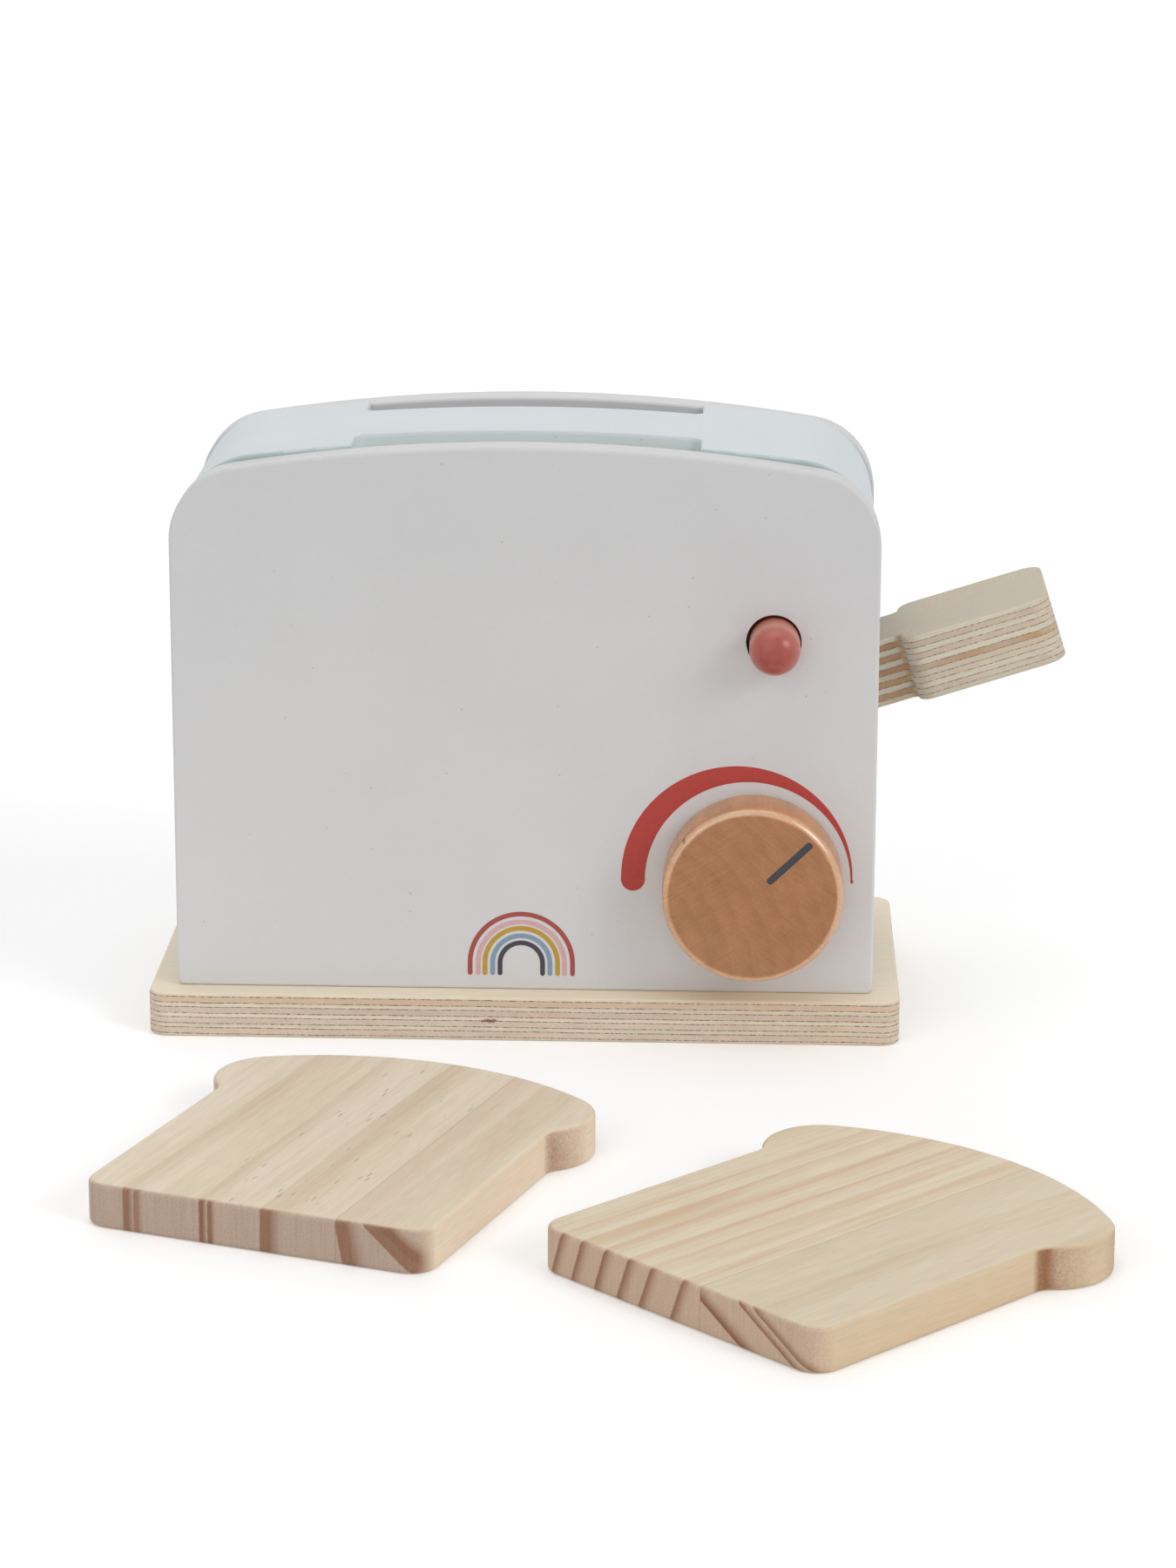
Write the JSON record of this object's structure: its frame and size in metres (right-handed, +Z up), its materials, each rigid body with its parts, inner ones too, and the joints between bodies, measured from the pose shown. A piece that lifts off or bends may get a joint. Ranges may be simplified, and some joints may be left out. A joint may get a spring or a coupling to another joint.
{
  "type": "wooden toy pop-up toaster with slices",
  "caption": "Plywood-and-painted-wood toy toaster with two open slots, a rocking lever that lifts a bar under the bread, a turning knob, a sprung peg button and loose wooden slices.",
  "frame": {"origin": "centre of the base plate's underside, on the table", "axes": "+X to the toaster's right seen from its front (the lever's side), +Y from the front panel to the back panel, +Z up; the front panel faces -Y"},
  "size_m": [0.2443, 0.3202, 0.1589],
  "materials": {
    "birch_plywood_base": "thin satin varnish over birch veneer plies",
    "birch_plywood_lever": "sanded bare birch plywood",
    "white_paint": "matt white paint on wood",
    "pale_mint_paint": "matt pale mint paint on wood",
    "turned_beech": "turned and oiled beech",
    "beech_dowel": "bare beech dowel",
    "bare_pine": "bare planed pine",
    "coral_paint": "matt coral-red paint on a beech peg",
    "pine_slice": "sanded bare edge-glued pine",
    "spring_steel": "bright drawn wire",
    "zinc_steel": "zinc plated"
  },
  "bodies": {
    "body": {"base_plate": "birch_plywood_base", "front_panel": "white_paint", "back_panel": "white_paint", "top_block": "pale_mint_paint", "left_side_board": "pale_mint_paint", "right_side_board": "pale_mint_paint", "lever_pivot": "beech_dowel", "lever_spacers": "beech_dowel", "button_housing": "bare_pine", "button_spring": "spring_steel", "base_screws": "zinc_steel", "front_panel_dowels": "beech_dowel", "back_panel_dowels": "beech_dowel", "shoulder_dowels": "beech_dowel"},
    "lever": {"lever": "birch_plywood_lever", "lift_bar": "beech_dowel"},
    "knob": {"control_knob": "turned_beech", "knob_axle": "beech_dowel", "knob_retainer": "beech_dowel"},
    "button": {"push_button": "coral_paint"},
    "left_slice": {"left_toast_slice": "pine_slice"},
    "right_slice": {"right_toast_slice": "pine_slice"}
  },
  "joints": [
    {"name": "lever_press", "type": "hinge", "parent": "body", "child": "lever", "pos_m": [0.072, 0, 0.0858], "axis": [0, 1, 0], "range_deg": [0, 20]},
    {"name": "knob_turn", "type": "hinge", "parent": "body", "child": "knob", "pos_m": [0.0605, -0.0565, 0.0433], "axis": [0, 1, 0], "continuous": true},
    {"name": "button_press", "type": "slide", "parent": "body", "child": "button", "axis": [0, 1, 0], "range_m": [0, 0.005], "stiffness_N_per_m": 200, "springref_m": -0.004, "deforming": ["button_spring"]},
    {"name": "left_slice_lift", "type": "slide", "parent": "body", "child": "left_slice", "axis": [0, 0, 1], "range_m": [0, 0.06]},
    {"name": "right_slice_lift", "type": "slide", "parent": "body", "child": "right_slice", "axis": [0, 0, 1], "range_m": [0, 0.06]}
  ]
}
